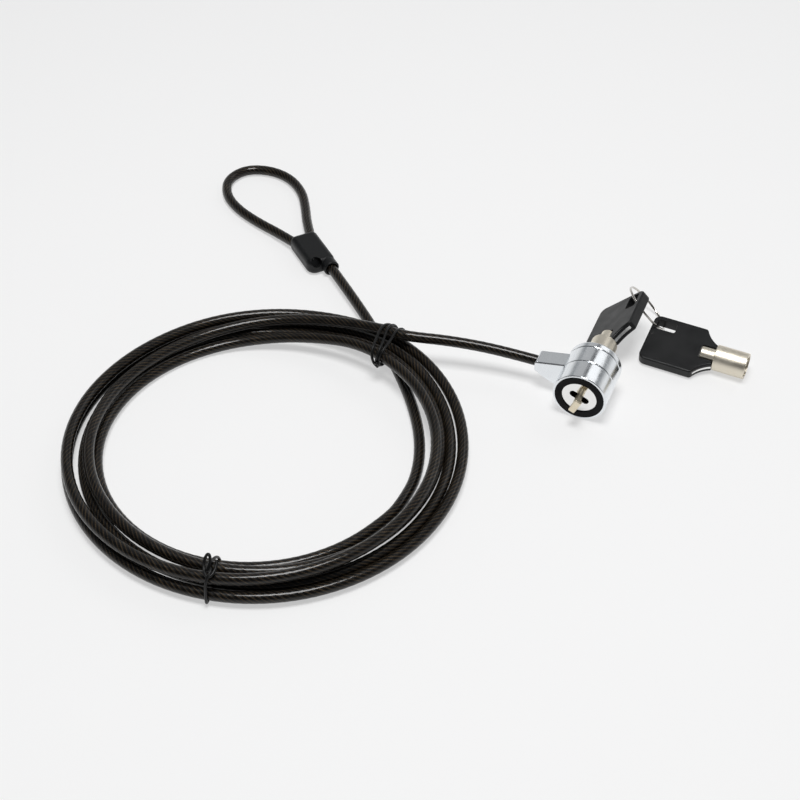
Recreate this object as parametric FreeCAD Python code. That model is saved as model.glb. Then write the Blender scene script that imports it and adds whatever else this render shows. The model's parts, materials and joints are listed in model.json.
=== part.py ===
import FreeCAD, Part
import os
from math import atan2, ceil, cos, degrees, hypot, pi, radians, sin, sqrt, tan
from FreeCAD import Matrix, Placement, Vector

# Laptop cable lock: a swivelling barrel lock with a T-bar nose, a coated steel cable with an
# eye, and two tubular keys on a split ring. Millimetres. The lock axis lies along Y with the
# rubber front pad at Y = 0 facing -Y, and the whole lock lies on a table.

# Lock head
head_radius = 10.9
table_z = -head_radius
shell_front = 0.3
shell_end = 9.9
ring_end = 18.9
cap_end = 22.0
cap_rim_round = 0.75
seam_round = 0.4
edge_round = 0.35
ring_wall = 2.7
spigot_radius = head_radius - ring_wall
spigot_end = 20.2
spigot_wall = 1.15
barrel_radius = spigot_radius - spigot_wall
seat_clear = 0.02
running_clear = 0.05
end_clear = 0.1

# Front pad and face plate
pad_rim = 1.03
pad_width = 2.72
pad_outer_radius = head_radius - pad_rim
pad_inner_radius = pad_outer_radius - pad_width
pad_depth = 1.5
plate_front = 0.5
plate_thickness = 1.9
slot_length = 8.4
slot_width = 3.0
slot_depth = 4.0

# T-bar nose
bar_angle = 67.0
bar_length = 6.6
bar_width = 2.7
bar_thickness = 1.9
bar_round = 0.45
nose_reach = 5.5
spindle_radius = 1.4
spindle_back = 13.4
cross_pin_radius = 0.5
cross_pin_length = 4.4
cross_pin_y = 11.0

# Tubular keys
mouth_wall = 1.6
mouth_clear = 0.1
key_outer_radius = barrel_radius - mouth_wall - mouth_clear
key_wall = 1.15
key_inner_radius = key_outer_radius - key_wall
tube_length = 13.2
tube_back_wall = 1.2
neck_radius = 3.0
neck_length = 6.0
nub_width = 2.2
nub_height = 0.7
nub_from_tip = 0.5
nub_length = 2.1
nub_angle = 129.0
cut_width = 1.0
bow_length = 29.0
bow_half = 12.1
bow_thickness = 4.4
bow_drop = 0.8
bow_shoulder = 6.6
bow_nose_half = 5.2
bow_corner = 3.0
shoulder_round = 1.5
bow_hollow = 0.9
bow_round = 0.7
eye_from = -27.2
eye_to = -18.9
eye_low = 4.8
eye_high = 9.9
eye_round = 0.9
recess_half = 3.5
recess_length = 6.6
recess_round = 1.0
plate_metal = 1.2
plate_back = 17.6
plate_half = 11.0
plate_inset = 0.12
tongue_half = 1.8
tongue_front = 3.2
fit_clear = 0.02

# Pin-tumbler core
pin_count = 8
pin_circle = (key_outer_radius + key_inner_radius) / 2
pin_radius = 0.5
chamber_clear = 0.06
pin_gap = 0.03
chamber_front = 8.0
barrel_end = 20.8
driver_length = 2.0
key_pin_length = 3.2
key_cuts = (0.3, 0.5, 0.0, 0.4, 0.6, 0.2, 0.5, 0.3)
spring_wall = 0.2
barrel_wall = 0.85
rotor_radius = barrel_radius - barrel_wall
hub_radius = 2.3
hub_front = 9.0
spindle_bore = 1.55
post_clear = 0.15
keyway_post_end = 23.2
mouth_lip = 0.6
bush_end = 24.2
dowel_radius = 0.8
dowel_y = 6.0
dowel_grip = 1.45
dowel_cover = 0.2

# Swivel ring, lug and cable end stop
lug_width = 7.8
lug_reach = 11.1
lug_tip_half = 2.65
lug_tip_round = 1.3
lug_top_out = 0.9
lug_top_z = 4.8
lug_low_out = 3.2
lug_low_z = -7.4
lug_belly_out = 4.2
lug_belly_z = -5.9
lug_root_x = -5.0
lug_edge_round = 0.6
lug_bore_clear = 0.1
stop_radius = 2.8
stop_length = 3.8
stop_seat = 2.0
stop_clear = 0.1

# Where the keys lie
key_1_roll = 45.5
key_2_shoulder = (42.4, 50.1)
key_2_heading = -2.5
key_2_roll = 9.6

# Split ring through both bows
split_radius = 10.93
split_width = 0.65
split_height = 0.95
split_round = 0.25
split_groove = 0.12
split_centre = Vector(9.33, 64.86, -1.88)
split_axis = Vector(0.6212, 0.4156, 0.6644)

# Cable
cable_diameter = 4.4
coil_centre = Vector(-104.9, -61.6, 0)
strand_pitch = 5.0
layer_rise = 4.4
coil_start_heading = 182.0
coil_end_heading = 75.0
coil_run_in = 6.5
coil_run_out = 8.8
# The coil passes four stations in each turn, at these angles about its centre. At each of
# them the outer lane has its own radius and its own lift off the table.
station_angles = (73.0, 143.0, 223.0, 343.0)
station_radii = (70.6, 72.4, 76.3, 75.9)
station_lifts = (6.5, 0.0, 1.6, 1.3)
# For each turn, at the four stations: lanes in from the outer one, layers up, shift in degrees.
turn_lanes = (
    (0.35, 1.65, 1.75, 2.0), (2.0, 1.2, 1.25, 1.0), (0.9, 0.15, 0, 0),
    (-0.45, 0.5, 0.1, 1.5), (2.7, 2.3, 2.25, 3.1))
turn_layers = (
    (1.5, 1.1, 1.15, 0.5), (0, 0, 0, 0), (-0.05, 0, 0, 0),
    (0.4, 1.35, 1.2, 1.5), (1.3, 0, 0, 0))
turn_shifts = ((0, 0, 0, 5), (0, 0, 0, 0), (-4, 0, 0, 0), (8, 0, 0, 0), (0, 0, 0, 0))
least_coil_gap = 0.4
arc_share = 0.45

# Free runs of the cable as chosen points: X, Y and height of the centre line off the table.
lead_points = (
    (-26.5, 14.4, 10.9), (-43.0, 12.6, 12.1), (-58.5, 9.4, 13.9), (-71.0, 5.5, 15.2))
tail_points = (
    (-45.0, -56.5, 2.6), (-50.2, -39.3, 2.25), (-59.9, -22.4, 2.25),
    (-72.9, -6.1, 2.25), (-84.6, 6.4, 2.25), (-108.2, 28.3, 3.7))
eye_points = (
    (-157.4, 57.6, 2.9), (-171.5, 62.2, 2.3), (-184.5, 67.6, 2.3), (-194.4, 75.2, 2.3),
    (-199.8, 86.0, 2.3), (-195.8, 97.0, 2.3), (-185.0, 101.0, 2.3), (-173.3, 99.0, 2.3),
    (-163.2, 91.2, 2.3), (-156.4, 80.6, 2.3), (-150.3, 69.3, 2.8))

# Boot and ferrule at the eye
boot_face = Vector(-147.2, 57.7, 0)
boot_heading = -40.5
boot_height = 3.7
boot_length = 22.5
boot_half = 6.3
boot_thickness = 7.3
boot_edge_round = 2.4
boot_corner_round = 2.6
boot_heel_round = 4.2
boot_wall_clear = 0.1
collar_length = 25.5
collar_radius = 3.5
collar_round = 0.5
collar_bore = 2.75
tail_offset = 3.0
leg_offset = 2.6
leg_bore_clear = 0.15
ferrule_from = 6.0
ferrule_to = 18.5
ferrule_half = 4.9
ferrule_thickness = 5.2
heel_hole_radius = 2.3
heel_hole_depth = 5.0
heel_hole_side = -2.4
heel_hole_out = 1.0
heel_hole_up = 0.2
heel_hole_tilt = 32.0

# Wire ties round the coil
tie_diameter = 1.1
tie_clear = 0.3
tie_turn_step = 45.0
back_tie_angle = 70.2
back_tie_pitch = 1.7
back_tie_fan = 0.3
back_tie_clear = 0.9
front_tie_angle = 280.0
front_tie_gap = 1.6

# Sizes worked out from the ones above
cable_radius = cable_diameter / 2
lug_y = (shell_end + ring_end) / 2
lug_tip_x = -head_radius - lug_reach
stop_face_x = -head_radius - stop_seat
key_1_shoulder_y = barrel_end + tube_length
mouth_radius = key_outer_radius + mouth_clear
keyway_post_radius = key_inner_radius - post_clear
rotor_back = barrel_end - end_clear
shear_y = rotor_back - key_pin_length
chamber_radius = pin_radius + chamber_clear
bore_radius = barrel_radius + seat_clear
dowel_inner = barrel_radius - dowel_grip
plate_back_y = plate_front + plate_thickness


def cylinder(radius, y_from, y_to):
    return Part.makeCylinder(radius, y_to - y_from, Vector(0, y_from, 0), Vector(0, 1, 0))


def sleeve(outer, inner, y_from, y_to):
    return cylinder(outer, y_from, y_to).cut(cylinder(inner, y_from - 1, y_to + 1))


def across(angle):
    """Unit vector square to the lock axis, angle in degrees from +X towards +Z."""
    return Vector(cos(radians(angle)), 0, sin(radians(angle)))


def frame(origin, along, side, up):
    return Placement(Matrix(along.x, side.x, up.x, origin.x,
                            along.y, side.y, up.y, origin.y,
                            along.z, side.z, up.z, origin.z, 0, 0, 0, 1))


def placed(shape, place):
    copy = shape.copy()
    copy.Placement = place.multiply(copy.Placement)
    return copy


def prism(points, low, high):
    """Solid over a closed outline in X and Y; a middle point between two marks an arc."""
    edges = []
    corner = Vector(points[0][0], points[0][1], low)
    start = corner
    i = 1
    while i <= len(points):
        item = points[i % len(points)]
        if len(item) == 3:
            end_item = points[(i + 1) % len(points)]
            end = Vector(end_item[0], end_item[1], low)
            edges.append(Part.Arc(corner, Vector(item[0], item[1], low), end).toShape())
            i += 2
        else:
            end = Vector(item[0], item[1], low)
            edges.append(Part.makeLine(corner, end))
            i += 1
        corner = end
    assert (corner - start).Length < 1e-6
    return Part.Face(Part.Wire(edges)).extrude(Vector(0, 0, high - low))


def rounded_slab(x_from, x_to, y_from, y_to, low, high, radius):
    box = Part.makeBox(x_to - x_from, y_to - y_from, high - low, Vector(x_from, y_from, low))
    upright = [e for e in box.Edges if abs(e.tangentAt(e.FirstParameter).z) > 0.9]
    return box.makeFillet(radius, upright)


def chamber(angle, radius, y_from, y_to):
    return cylinder(radius, y_from, y_to).translated(across(angle) * pin_circle)


def chamber_angles():
    return [360.0 / pin_count * i for i in range(pin_count)]


# Lock head pieces

def make_front_shell():
    shell = cylinder(head_radius, shell_front, shell_end)
    shell = shell.makeFillet(edge_round, rims_at(shell, shell_front))
    shell = shell.makeFillet(seam_round, rims_at(shell, shell_end))
    shell = shell.fuse(cylinder(spigot_radius, shell_end, spigot_end)).removeSplitter()
    shell = shell.cut(cylinder(pad_outer_radius + running_clear, shell_front - 1, pad_depth))
    shell = shell.cut(cylinder(bore_radius, 0, cap_end))
    return shell.cut(dowel(seat_clear, head_radius))


def rims_at(shape, y):
    """Round edges of a turned shape that lie in the plane at y."""
    return [e for e in shape.Edges
            if e.Closed and abs(e.BoundBox.YMin - y) < 0.01 and e.BoundBox.YLength < 0.01]


def dowel(clear, reach):
    length = reach - dowel_inner + clear
    top = Vector(0, dowel_y, -dowel_inner + clear)
    return Part.makeCylinder(dowel_radius + clear, length, top, Vector(0, 0, -1))


def make_barrel_dowel():
    return dowel(0, head_radius - dowel_cover)


def make_rubber_pad():
    return sleeve(pad_outer_radius, pad_inner_radius, 0, pad_depth)


def slot_cutter(reach):
    """The long hole for the T-bar, from the front to a depth behind the face plate."""
    half = (slot_length - slot_width) / 2
    along = across(bar_angle - 90)
    depth = plate_back_y + reach
    end = cylinder(slot_width / 2, 0, depth)
    cutter = end.translated(along * half).fuse(end.translated(along * -half))
    bar = Part.makeBox(2 * half, depth, slot_width, Vector(-half, 0, -slot_width / 2))
    bar.rotate(Vector(0, 0, 0), Vector(0, 1, 0), -(bar_angle - 90))
    return cutter.fuse(bar)


def make_face_plate():
    return cylinder(barrel_radius, plate_front, plate_back_y).cut(slot_cutter(slot_depth))


def make_lock_barrel():
    barrel = cylinder(barrel_radius, plate_back_y + seat_clear, barrel_end)
    barrel = barrel.cut(cylinder(rotor_radius + running_clear, shear_y, barrel_end + 1))
    barrel = barrel.cut(cylinder(spindle_bore, 0, shear_y + 1))
    barrel = barrel.cut(cylinder(hub_radius + running_clear, hub_front - end_clear, shear_y + 1))
    barrel = barrel.cut(slot_cutter(slot_depth))
    for angle in chamber_angles():
        barrel = barrel.cut(chamber(angle, chamber_radius, chamber_front, shear_y + 1))
    return barrel.cut(dowel(seat_clear, head_radius))


def make_lock_rotor():
    rotor = cylinder(rotor_radius, shear_y + running_clear / 2, rotor_back)
    rotor = rotor.fuse(cylinder(hub_radius, hub_front, shear_y + 1))
    post = cylinder(keyway_post_radius, rotor_back - 1, keyway_post_end)
    post = post.makeFillet(edge_round, rims_at(post, keyway_post_end))
    rotor = rotor.fuse(post).removeSplitter()
    for angle in chamber_angles():
        rotor = rotor.cut(chamber(angle, chamber_radius, shear_y - 1, rotor_back + 1))
    rotor = rotor.cut(cylinder(spindle_radius + seat_clear, hub_front - 1, spindle_back + end_clear))
    return rotor.cut(cross_pin(seat_clear))


def cross_pin(clear):
    along = across(bar_angle)
    start = along * (-cross_pin_length / 2) + Vector(0, cross_pin_y, 0)
    return Part.makeCylinder(cross_pin_radius + clear, cross_pin_length, start, along)


def make_t_bar():
    stem = cylinder(spindle_radius, -nose_reach + bar_thickness / 2, spindle_back)
    bar = Part.makeBox(bar_length, bar_thickness, bar_width,
                       Vector(-bar_length / 2, -nose_reach, -bar_width / 2))
    bar = bar.makeFillet(bar_round, bar.Edges)
    bar.rotate(Vector(0, 0, 0), Vector(0, 1, 0), -bar_angle)
    return stem.fuse(bar).removeSplitter().cut(cross_pin(seat_clear))


def make_keyway_bush():
    bush = sleeve(barrel_radius, mouth_radius, barrel_end + seat_clear, bush_end)
    nub_path = mouth_radius + nub_height
    bush = bush.cut(cylinder(nub_path, barrel_end - 1, bush_end - mouth_lip))
    half = nub_width / 2 + end_clear
    for turn in (nub_angle, nub_angle + 90):
        slot = Part.makeBox(nub_path, bush_end, 2 * half, Vector(0, 1, -half))
        slot.rotate(Vector(0, 0, 0), Vector(0, 1, 0), -(key_1_roll + turn))
        bush = bush.cut(slot)
    return bush


def make_rear_cap():
    cap = cylinder(head_radius, ring_end, cap_end)
    cap = cap.makeFillet(cap_rim_round, rims_at(cap, cap_end))
    cap = cap.makeFillet(seam_round, rims_at(cap, ring_end))
    cap = cap.cut(cylinder(spigot_radius + seat_clear, ring_end - 1, spigot_end + seat_clear))
    return cap.cut(cylinder(bore_radius, 0, cap_end + 1))


def make_key_pins():
    pins = []
    for angle, cut in zip(chamber_angles(), key_cuts):
        pins.append(chamber(angle, pin_radius, shear_y + pin_gap, barrel_end + cut - pin_gap))
    return Part.makeCompound(pins)


def make_driver_pins():
    front = shear_y - pin_gap - driver_length
    return Part.makeCompound([chamber(a, pin_radius, front, shear_y - pin_gap)
                              for a in chamber_angles()])


def make_pin_springs():
    back = shear_y - 2 * pin_gap - driver_length
    springs = []
    for angle in chamber_angles():
        coil = chamber(angle, pin_radius, chamber_front + pin_gap, back)
        springs.append(coil.cut(chamber(angle, pin_radius - spring_wall, chamber_front, back + 1)))
    return Part.makeCompound(springs)


# Swivel ring with its lug

def lug_outline():
    """The lug seen along the lock axis, its tip round, its lower side bellied."""
    bend = lug_tip_round * (1 - sqrt(0.5))
    far = lug_tip_x + bend
    return [(lug_root_x, lug_top_z + 0.5), (lug_top_out - head_radius, lug_top_z),
            (lug_tip_x + lug_tip_round, lug_tip_half), (far, lug_tip_half - bend, 'arc'),
            (lug_tip_x, lug_tip_half - lug_tip_round), (lug_tip_x, lug_tip_round - lug_tip_half),
            (far, bend - lug_tip_half, 'arc'), (lug_tip_x + lug_tip_round, -lug_tip_half),
            (-head_radius - lug_belly_out, lug_belly_z, 'arc'),
            (lug_low_out - head_radius, lug_low_z), (lug_root_x, lug_low_z)]


def make_swivel_ring():
    front = shell_end + end_clear
    back = ring_end - end_clear
    ring = cylinder(head_radius, front, back)
    ring = ring.makeFillet(seam_round, rims_at(ring, front) + rims_at(ring, back))
    lug = prism(lug_outline(), -lug_width / 2, lug_width / 2)
    lug.rotate(Vector(0, 0, 0), Vector(1, 0, 0), 90)
    lug.translate(Vector(0, lug_y, 0))
    rims = [e for e in lug.Edges if e.BoundBox.YLength < 0.01 and e.BoundBox.XMin < -head_radius - 1]
    lug = lug.makeFillet(lug_edge_round, rims)
    ring = ring.fuse(lug).cut(cylinder(spigot_radius + running_clear, 0, cap_end))
    bore_start = Vector(lug_tip_x - 1, lug_y, 0)
    bore = Part.makeCylinder(cable_radius + lug_bore_clear, head_radius, bore_start, Vector(1, 0, 0))
    pocket_start = Vector(stop_face_x, lug_y, 0)
    pocket = Part.makeCylinder(stop_radius + stop_clear, -stop_face_x - spigot_radius + 1,
                               pocket_start, Vector(1, 0, 0))
    return ring.cut(bore).cut(pocket)


def make_cable_stop():
    start = Vector(stop_face_x + seat_clear, lug_y, 0)
    return Part.makeCylinder(stop_radius, stop_length - seat_clear, start, Vector(1, 0, 0))


# Keys, each made flat: +X towards the tube's tip, +Y across the bow, +Z its thickness

def bow_outline(inset):
    """The bow in plan; an inset moves its hollow shoulders towards the back."""
    long = bow_length
    half = bow_half
    shoulder_x = -bow_shoulder - inset
    mid_x = (shoulder_x - inset) / 2 - bow_hollow * 0.7
    mid_y = (half + bow_nose_half) / 2 - bow_hollow * 0.7
    bend = bow_corner * (1 - sqrt(0.5))
    upper = [(-long, half - bow_corner), (-long + bend, half - bend, 'arc'),
             (-long + bow_corner, half), (shoulder_x, half), (mid_x, mid_y, 'arc'),
             (-inset, bow_nose_half)]
    lower = [(x[0], -x[1]) + tuple(x[2:]) for x in reversed(upper)]
    return upper + lower


def recess_for_neck(clear):
    half = recess_half - clear
    return rounded_slab(-recess_length + clear, bow_half, -half, half,
                        -bow_thickness, bow_thickness, recess_round)


def make_bow():
    half = bow_thickness / 2
    bow = prism(bow_outline(0), -half, half)
    shoulders = [e for e in bow.Edges
                 if e.BoundBox.ZLength > half and abs(e.BoundBox.XMin + bow_shoulder) < 0.01
                 and abs(e.BoundBox.XMax + bow_shoulder) < 0.01]
    bow = bow.makeFillet(shoulder_round, shoulders)
    bow = bow.makeFillet(bow_round, [e for e in bow.Edges if e.BoundBox.ZLength < 0.01])
    eye = rounded_slab(eye_from, eye_to, eye_low, eye_high, -half - 1, half + 1, eye_round)
    groove = plate_metal + 2 * fit_clear
    wide = plate_half + fit_clear
    pocket = Part.makeBox(plate_back + fit_clear + 1, 2 * wide, groove,
                          Vector(-plate_back - fit_clear, -wide, -groove / 2))
    bow = bow.cut(eye).cut(recess_for_neck(0)).cut(pocket)
    return bow.translated(Vector(0, 0, -bow_drop))


def make_key_plate():
    half = plate_metal / 2
    plate = prism(bow_outline(plate_inset), -half, half)
    plate = plate.common(Part.makeBox(plate_back, 2 * plate_half, plate_metal,
                                      Vector(-plate_back, -plate_half, -half)))
    plate = plate.cut(recess_for_neck(-fit_clear))
    tongue = Part.makeBox(recess_length, 2 * tongue_half, plate_metal,
                          Vector(-recess_length - tongue_front, -tongue_half, -half))
    return plate.fuse(tongue).removeSplitter().translated(Vector(0, 0, -bow_drop))


def make_key_tube():
    tube = Part.makeCylinder(key_outer_radius, tube_length, Vector(0, 0, 0), Vector(1, 0, 0))
    ends = [e for e in tube.Edges if e.Closed and e.BoundBox.XLength < 0.01]
    tube = tube.makeFillet(edge_round, ends)
    bore = Part.makeCylinder(key_inner_radius, tube_length, Vector(tube_back_wall, 0, 0), Vector(1, 0, 0))
    neck = Part.makeCylinder(neck_radius, neck_length + 1, Vector(-neck_length, 0, 0), Vector(1, 0, 0))
    back = [e for e in neck.Edges if e.BoundBox.XMax < -neck_length + 0.01 and e.Closed]
    neck = neck.makeFillet(edge_round, back)
    nub = Part.makeBox(nub_length, nub_width, nub_height + 0.4,
                       Vector(tube_length - nub_from_tip - nub_length, -nub_width / 2,
                              key_outer_radius - 0.4))
    nub_top = Part.makeCylinder(mouth_radius + nub_height - end_clear, tube_length,
                                Vector(0, 0, 0), Vector(1, 0, 0))
    nub = nub.common(nub_top)
    nub.rotate(Vector(0, 0, 0), Vector(1, 0, 0), nub_angle - 90)
    tube = tube.fuse(neck).fuse(nub).cut(bore)
    slit = Part.makeBox(recess_length, 2 * (tongue_half + fit_clear), plate_metal + 2 * fit_clear,
                        Vector(-recess_length - tongue_front + fit_clear, -tongue_half - fit_clear,
                               -bow_drop - plate_metal / 2 - fit_clear))
    tube = tube.cut(slit)
    for angle, cut in zip(chamber_angles(), key_cuts):
        if cut:
            # the cuts face the pins when the key stands in the mouth
            direction = across(angle)
            at = Vector(0, -direction.dot(across(key_1_roll + 180)), direction.dot(across(key_1_roll + 90)))
            notch = Part.makeBox(cut + 1, cut_width, cut_width,
                                 Vector(tube_length - cut, -cut_width / 2, -cut_width / 2))
            notch.rotate(Vector(0, 0, 0), Vector(1, 0, 0), degrees(atan2(at.z, at.y)))
            notch.translate(at * (key_outer_radius + key_inner_radius) * 0.5)
            tube = tube.cut(notch)
    return tube.removeSplitter()


def key_1_frame():
    origin = Vector(0, key_1_shoulder_y, 0)
    return frame(origin, Vector(0, -1, 0), across(key_1_roll), across(key_1_roll + 90))


def key_2_frame():
    heading = radians(key_2_heading)
    along = Vector(cos(heading), sin(heading), 0)
    flat_side = Vector(-sin(heading), cos(heading), 0)
    side = flat_side * cos(radians(key_2_roll)) + Vector(0, 0, sin(radians(key_2_roll)))
    origin = Vector(key_2_shoulder[0], key_2_shoulder[1], table_z + key_outer_radius)
    return frame(origin, along, side, along.cross(side))


def make_split_ring():
    low = -split_height / 2
    box = Part.makeBox(split_width, 0.01, split_height, Vector(split_radius - split_width / 2, 0, low))
    face = [f for f in box.Faces if f.BoundBox.YLength < 1e-6][0]
    ring = face.revolve(Vector(0, 0, 0), Vector(0, 0, 1), 360)
    ring = Part.Solid(ring) if ring.ShapeType != 'Solid' else ring
    ring = ring.makeFillet(split_round, ring.Edges)
    for radius in (split_radius - split_width / 2, split_radius + split_width / 2):
        ring = ring.cut(Part.makeTorus(radius, split_groove))
    up = Vector(split_axis).normalize()
    along = up.cross(Vector(0, 0, 1)).normalize()
    return placed(ring, frame(split_centre, along, up.cross(along), up))


# Cable routes

def at_height(point):
    return Vector(point[0], point[1], table_z + point[2])


def rounded_path(points):
    """Straight runs joined by tangent arcs, as edges, with the arc radii."""
    edges = []
    radii = []
    here = points[0]
    for i in range(1, len(points) - 1):
        before, corner, after = points[i - 1], points[i], points[i + 1]
        run_in = corner - before
        run_out = after - corner
        turn = run_in.getAngle(run_out)
        setback = arc_share * min(run_in.Length, run_out.Length)
        radius = setback / tan(turn / 2)
        radii.append(radius)
        start = corner - Vector(run_in).normalize() * setback
        end = corner + Vector(run_out).normalize() * setback
        inward = (Vector(run_out).normalize() - Vector(run_in).normalize()).normalize()
        middle = corner + inward * (radius / cos(turn / 2) - radius)
        edges.append(Part.LineSegment(here, start).toShape())
        edges.append(Part.Arc(start, middle, end).toShape())
        here = end
    edges.append(Part.LineSegment(here, points[-1]).toShape())
    return edges, radii


def tube_along(edges, diameter):
    path = Part.Wire(edges)
    first = edges[0]
    start = first.valueAt(first.FirstParameter)
    direction = first.tangentAt(first.FirstParameter)
    circle = Part.Wire(Part.makeCircle(diameter / 2, start, direction))
    shell = Part.BRepOffsetAPI.MakePipeShell(path)
    shell.add(circle, False, False)
    shell.build()
    shell.makeSolid()
    return shell.shape()


def cord(name, points, diameter):
    edges, radii = rounded_path(points)
    solid = tube_along(edges, diameter)
    length = sum(e.Length for e in edges)
    whole = pi * diameter ** 2 / 4 * length
    print(name, 'length %.1f' % length, 'radii', ' '.join('%.0f' % r for r in radii),
          'volume share %.5f' % (solid.Volume / whole))
    return solid


def coil_nodes():
    nodes = []
    for turn, row in enumerate(zip(turn_lanes, turn_layers, turn_shifts)):
        stations = zip(station_angles, station_radii, station_lifts, *row)
        for angle, outer, raised, lane, layer, shift in stations:
            nodes.append((radians(angle + shift + 360 * turn), outer - lane * strand_pitch,
                          table_z + cable_radius + raised + layer * layer_rise))
    return nodes


def even_slope(before, value, after, span_before, span_after):
    """Slope through three values that never overshoots them."""
    first = (value - before) / span_before
    second = (after - value) / span_after
    if first * second <= 0:
        return 0.0
    return 2 * first * second / (first + second)


def level_heading(degrees_):
    return Vector(cos(radians(degrees_)), sin(radians(degrees_)), 0)


def coil_path():
    """Points and tangents of the coil at its stations."""
    nodes = coil_nodes()
    points = []
    tangents = []
    for i, (angle, radius, height) in enumerate(nodes):
        out = Vector(cos(angle), sin(angle), 0)
        round_ = Vector(-sin(angle), cos(angle), 0)
        points.append(coil_centre + out * radius + Vector(0, 0, height))
        if 0 < i < len(nodes) - 1:
            a0, r0, h0 = nodes[i - 1]
            a1, r1, h1 = nodes[i + 1]
            widen = even_slope(r0, radius, r1, angle - a0, a1 - angle)
            climb = even_slope(h0, height, h1, angle - a0, a1 - angle)
            tangents.append((out * widen + round_ * radius + Vector(0, 0, climb)).normalize())
    return points, [level_heading(coil_start_heading)] + tangents + [level_heading(coil_end_heading)]


def joint_point(start, start_way, end, end_way):
    """Where the two arcs of a biarc meet, for equal tangent lengths."""
    span = end - start
    ways = start_way + end_way
    spread = 2 * (1 - start_way.dot(end_way))
    reach = (-span.dot(ways) + sqrt(span.dot(ways) ** 2 + spread * span.dot(span))) / spread
    return (start + end + (start_way - end_way) * reach) * 0.5


def arc_from(start, way, end):
    """Arc that leaves start along way and reaches end, with its tangent there."""
    chord = end - start
    side = chord - way * chord.dot(way)
    side.normalize()
    radius = chord.dot(chord) / (2 * chord.dot(side))
    sweep = 2 * atan2(chord.dot(side), chord.dot(way))
    centre = start + side * radius
    middle = centre + (way * sin(sweep / 2) - side * cos(sweep / 2)) * radius
    leave = way * cos(sweep) + side * sin(sweep)
    return Part.Arc(start, middle, end).toShape(), leave, radius


def coil_edges():
    points, ways = coil_path()
    edges = []
    radii = []
    for i in range(len(points) - 1):
        meet = joint_point(points[i], ways[i], points[i + 1], ways[i + 1])
        first, way, radius = arc_from(points[i], ways[i], meet)
        second, way, next_radius = arc_from(meet, way, points[i + 1])
        edges += [first, second]
        radii += [radius, next_radius]
    return edges, radii


def sampled(edges, step):
    points = []
    lengths = []
    so_far = 0.0
    for edge in edges:
        count = max(2, int(ceil(edge.Length / step)))
        share = edge.discretize(count + 1)
        for i, point in enumerate(share[:-1]):
            points.append(point)
            lengths.append(so_far + edge.Length * i / count)
        so_far += edge.Length
    points.append(edges[-1].valueAt(edges[-1].LastParameter))
    lengths.append(so_far)
    return points, lengths


def least_gap(edges, diameter, step, apart):
    """Least gap between a tube and itself, on points that lie apart along it."""
    points, lengths = sampled(edges, step)
    cell = 2.5 * diameter
    boxes = {}
    for i, p in enumerate(points):
        boxes.setdefault((round(p.x / cell), round(p.y / cell), round(p.z / cell)), []).append(i)
    least = cell
    for (bx, by, bz), members in boxes.items():
        near = [j for dx in (-1, 0, 1) for dy in (-1, 0, 1) for dz in (-1, 0, 1)
                for j in boxes.get((bx + dx, by + dy, bz + dz), [])]
        for i in members:
            for j in near:
                if lengths[j] - lengths[i] > apart:
                    least = min(least, points[i].distanceToPoint(points[j]) - diameter)
    return least


def make_coil():
    edges, radii = coil_edges()
    gap = least_gap(edges, cable_diameter, 1.5, 8 * cable_diameter)
    length = sum(e.Length for e in edges)
    print('cable_coil length %.0f' % length, 'least radius %.1f' % min(radii), 'least gap %.2f' % gap)
    assert gap > least_coil_gap
    solid = tube_along(edges, cable_diameter)
    print('cable_coil volume share %.5f' % (solid.Volume / (pi * cable_radius ** 2 * length)))
    return solid


def lead_route():
    points, ways = coil_path()
    start = Vector(stop_face_x, lug_y, 0)
    join = points[0] - ways[0] * coil_run_in
    return [start] + [at_height(p) for p in lead_points] + [join, points[0]]


def tail_route():
    points, ways = coil_path()
    leave = points[-1] + ways[-1] * coil_run_out
    end = boot_point(ferrule_to, tail_offset)
    return [points[-1], leave] + [at_height(p) for p in tail_points] + [end]


def eye_route():
    return [boot_point(ferrule_from, -leg_offset)] + [at_height(p) for p in eye_points] + \
        [boot_point(ferrule_from, leg_offset)]


# Boot and ferrule, made flat: +X towards the cable, +Y to the tail's side

def boot_frame():
    along = level_heading(boot_heading)
    origin = Vector(boot_face.x, boot_face.y, table_z + boot_height)
    return frame(origin, along, Vector(-along.y, along.x, 0), Vector(0, 0, 1))


def boot_point(along, side):
    return boot_frame().multVec(Vector(along, side, 0))


def leg_cutter(side):
    """Bore for one leg of the eye, on the line from the ferrule to the route's next point."""
    place = boot_frame().inverse()
    legs = eye_route()
    start, after = (legs[0], legs[1]) if side < 0 else (legs[-1], legs[-2])
    start, after = place.multVec(start), place.multVec(after)
    way = (after - start).normalize()
    return Part.makeCylinder(cable_radius + leg_bore_clear, boot_length, start - way * 1.5, way)


def boot_outline():
    """The boot in plan, its heel corner round."""
    half = boot_half
    heel = boot_heel_round
    bend = heel * (1 - sqrt(0.5))
    return [(0, -half), (0, half), (boot_length, half), (boot_length, heel - half),
            (boot_length - bend, bend - half, 'arc'), (boot_length - heel, -half)]


def boot_body():
    thick = boot_thickness / 2
    body = prism(boot_outline(), -thick, thick)
    corners = [e for e in body.Edges if e.BoundBox.ZLength > thick and e.BoundBox.XMin < 0.01]
    body = body.makeFillet(boot_corner_round, corners)
    far = [e for e in body.Edges if e.BoundBox.ZLength > thick and e.BoundBox.YMin > boot_half - 0.01]
    body = body.makeFillet(boot_corner_round, far)
    rims = [e for e in body.Edges if e.BoundBox.ZLength < 0.01]
    return body.makeFillet(boot_edge_round, rims)


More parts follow.
